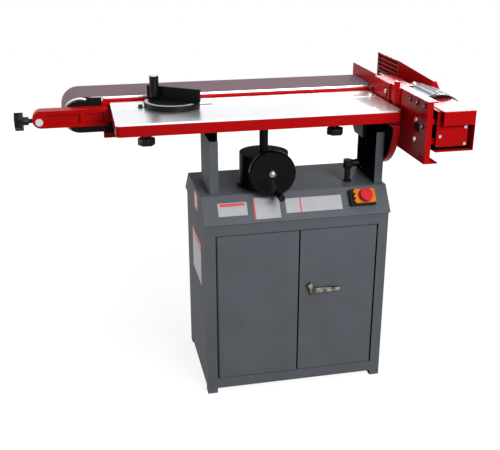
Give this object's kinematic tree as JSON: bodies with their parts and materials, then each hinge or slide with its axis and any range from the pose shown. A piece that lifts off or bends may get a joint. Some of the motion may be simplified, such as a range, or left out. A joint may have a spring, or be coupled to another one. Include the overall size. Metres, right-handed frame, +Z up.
{
  "type": "edge sander",
  "caption": "Floor-standing edge sander with a tilting abrasive belt head over a slotted lifting table, a mitre gauge and a two-door sheet-metal cabinet stand.",
  "frame": {"origin": "on the floor, in the middle of the four anchor holes in the cabinet's feet", "axes": "+Z up, -Y towards the operator and the cabinet doors, +X towards the motor end"},
  "size_m": [1.178, 0.558, 0.876],
  "materials": {
    "red_paint": "gloss",
    "grey_paint": "satin",
    "black_paint": "satin",
    "black_plastic": "moulded",
    "ground_steel": "ground",
    "dark_steel": "blackened",
    "chrome": "polished",
    "abrasive": "coated grit",
    "motor_grey": "painted",
    "yellow_plastic": "moulded",
    "red_plastic": "moulded",
    "green_plastic": "moulded",
    "bronze": "turned",
    "belt_rubber": "matte"
  },
  "bodies": {
    "stand": {"cabinet": "grey_paint", "hood": "grey_paint", "left_post": "grey_paint", "right_post": "grey_paint", "post_bolts": "dark_steel", "column_housing": "black_paint", "hinge_pins": "dark_steel", "switch_body": "black_plastic", "trunnions": "black_paint", "quadrant": "red_paint", "pivot_pins": "dark_steel", "lock_stud": "black_paint"},
    "left_door": {"left_door": "grey_paint"},
    "right_door": {"right_door": "grey_paint"},
    "latch": {"door_handle": "chrome", "latch_cam": "dark_steel"},
    "table": {"table_top": "ground_steel", "table_apron": "red_paint", "table_saddle": "black_paint", "lift_screw": "dark_steel"},
    "lift_nut": {"lift_nut": "bronze"},
    "handwheel": {"handwheel": "black_plastic", "wheel_shaft": "chrome"},
    "crank_grip": {"crank_grip": "black_plastic"},
    "table_knob_left": {"table_knob_left": "black_plastic"},
    "table_knob_right": {"table_knob_right": "black_plastic"},
    "mitre_bar": {"mitre_bar": "dark_steel"},
    "mitre_head": {"mitre_head": "black_paint", "mitre_fence": "black_paint"},
    "mitre_knob": {"mitre_knob": "black_plastic"},
    "head": {"head_beam": "red_paint", "platen": "ground_steel", "sanding_belt": "abrasive", "loop_cover": "black_paint", "idler_arm": "red_paint", "drive_housing": "red_paint", "drive_bearings": "ground_steel", "drive_belt": "belt_rubber", "motor_body": "motor_grey", "motor_ring": "black_plastic", "motor_front": "red_paint", "motor_cover": "red_paint", "motor_pan": "red_paint", "stop_bracket": "red_paint", "guard_wall": "red_paint", "head_bolts": "dark_steel"},
    "stop": {"stop_plate": "red_paint"},
    "idler_slide": {"idler_block": "dark_steel", "idler_shaft": "dark_steel"},
    "idler_drum": {"idler_drum": "ground_steel"},
    "tension_knob": {"tension_knob": "black_plastic"},
    "drive": {"drive_drum": "ground_steel", "drive_shaft": "dark_steel", "drum_pulley": "dark_steel"},
    "rotor": {"rotor": "dark_steel", "motor_pulley": "dark_steel"},
    "lock_lever": {"lock_lever": "black_plastic"},
    "switch_flap": {"switch_flap": "yellow_plastic"},
    "stop_button": {"stop_button": "red_plastic"},
    "start_button": {"start_button": "green_plastic"}
  },
  "joints": [
    {"name": "left_door_hinge", "type": "hinge", "parent": "stand", "child": "left_door", "pos_m": [-0.2185, -0.159, 0.262], "axis": [0, 0, 1], "range_deg": [-105, 0]},
    {"name": "right_door_hinge", "type": "hinge", "parent": "stand", "child": "right_door", "pos_m": [0.2185, -0.159, 0.262], "axis": [0, 0, 1], "range_deg": [0, 105]},
    {"name": "latch_turn", "type": "hinge", "parent": "right_door", "child": "latch", "pos_m": [0.043, -0.165, 0.301], "axis": [0, 1, 0], "range_deg": [0, 90]},
    {"name": "table_lift", "type": "slide", "parent": "stand", "child": "table", "axis": [0, 0, 1], "range_m": [0, 0.1]},
    {"name": "lift_nut_turn", "type": "hinge", "parent": "stand", "child": "lift_nut", "pos_m": [-0.069, -0.041, 0.6], "axis": [0, 0, 1], "range_deg": [-3600, 0]},
    {"name": "handwheel_turn", "type": "hinge", "parent": "stand", "child": "handwheel", "pos_m": [-0.069, -0.14, 0.635], "axis": [0, 1, 0], "range_deg": [0, 3600]},
    {"name": "crank_grip_spin", "type": "hinge", "parent": "handwheel", "child": "crank_grip", "pos_m": [-0.05502, -0.171, 0.58284], "axis": [0, 1, 0], "continuous": true},
    {"name": "table_knob_left_turn", "type": "hinge", "parent": "table", "child": "table_knob_left", "pos_m": [-0.392, -0.12, 0.74], "axis": [0, 0, 1], "range_deg": [0, 720]},
    {"name": "table_knob_right_turn", "type": "hinge", "parent": "table", "child": "table_knob_right", "pos_m": [0.106, -0.12, 0.74], "axis": [0, 0, 1], "range_deg": [0, 720]},
    {"name": "mitre_slide", "type": "slide", "parent": "table", "child": "mitre_bar", "axis": [1, 0, 0], "range_m": [-0.1, 0.4]},
    {"name": "mitre_swivel", "type": "hinge", "parent": "mitre_bar", "child": "mitre_head", "pos_m": [-0.307, 0.004, 0.803], "axis": [0, 0, 1], "range_deg": [-114, 6]},
    {"name": "mitre_knob_turn", "type": "hinge", "parent": "mitre_head", "child": "mitre_knob", "pos_m": [-0.35347, 0.0217, 0.83], "axis": [0, 0, 1], "range_deg": [0, 360]},
    {"name": "head_tilt", "type": "hinge", "parent": "stand", "child": "head", "pos_m": [0, 0.128, 0.78], "axis": [1, 0, 0], "range_deg": [0, 90]},
    {"name": "stop_height", "type": "slide", "parent": "head", "child": "stop", "axis": [0, 0, 1], "range_m": [0, 0.015]},
    {"name": "idler_tension", "type": "slide", "parent": "head", "child": "idler_slide", "axis": [1, 0, 0], "range_m": [0, 0.012]},
    {"name": "idler_spin", "type": "hinge", "parent": "idler_slide", "child": "idler_drum", "pos_m": [-0.551, 0.17, 0.7612], "axis": [0, 1, 0], "continuous": true},
    {"name": "tension_knob_turn", "type": "hinge", "parent": "head", "child": "tension_knob", "pos_m": [-0.7, 0.071, 0.7582], "axis": [1, 0, 0], "range_deg": [0, 2160]},
    {"name": "drive_spin", "type": "hinge", "parent": "head", "child": "drive", "pos_m": [0.3, 0.1, 0.7612], "axis": [0, 1, 0], "continuous": true},
    {"name": "rotor_spin", "type": "hinge", "parent": "head", "child": "rotor", "pos_m": [0.388, 0, 0.7612], "axis": [0, 1, 0], "continuous": true},
    {"name": "lock_lever_turn", "type": "hinge", "parent": "stand", "child": "lock_lever", "pos_m": [0.164, -0.068, 0.62], "axis": [0, 0, 1], "range_deg": [-90, 45]},
    {"name": "switch_flap_hinge", "type": "hinge", "parent": "stand", "child": "switch_flap", "pos_m": [0.1585, -0.1562, 0.56035], "axis": [0, -0.6039, -0.7971], "range_deg": [0, 110]},
    {"name": "stop_press", "type": "slide", "parent": "switch_flap", "child": "stop_button", "axis": [0, 0.7971, -0.6039], "range_m": [0, 0.004], "stiffness_N_per_m": 600},
    {"name": "start_press", "type": "slide", "parent": "stand", "child": "start_button", "axis": [0, 0.7971, -0.6039], "range_m": [0, 0.003], "stiffness_N_per_m": 600}
  ],
  "couplings": [
    {"joint": "handwheel_turn", "follows": "table_lift", "rad_per_m": 628.32},
    {"joint": "lift_nut_turn", "follows": "table_lift", "rad_per_m": -628.32},
    {"joint": "tension_knob_turn", "follows": "idler_tension", "rad_per_m": 3141.6},
    {"joint": "idler_spin", "follows": "drive_spin", "ratio": 1},
    {"joint": "rotor_spin", "follows": "drive_spin", "ratio": 1}
  ]
}
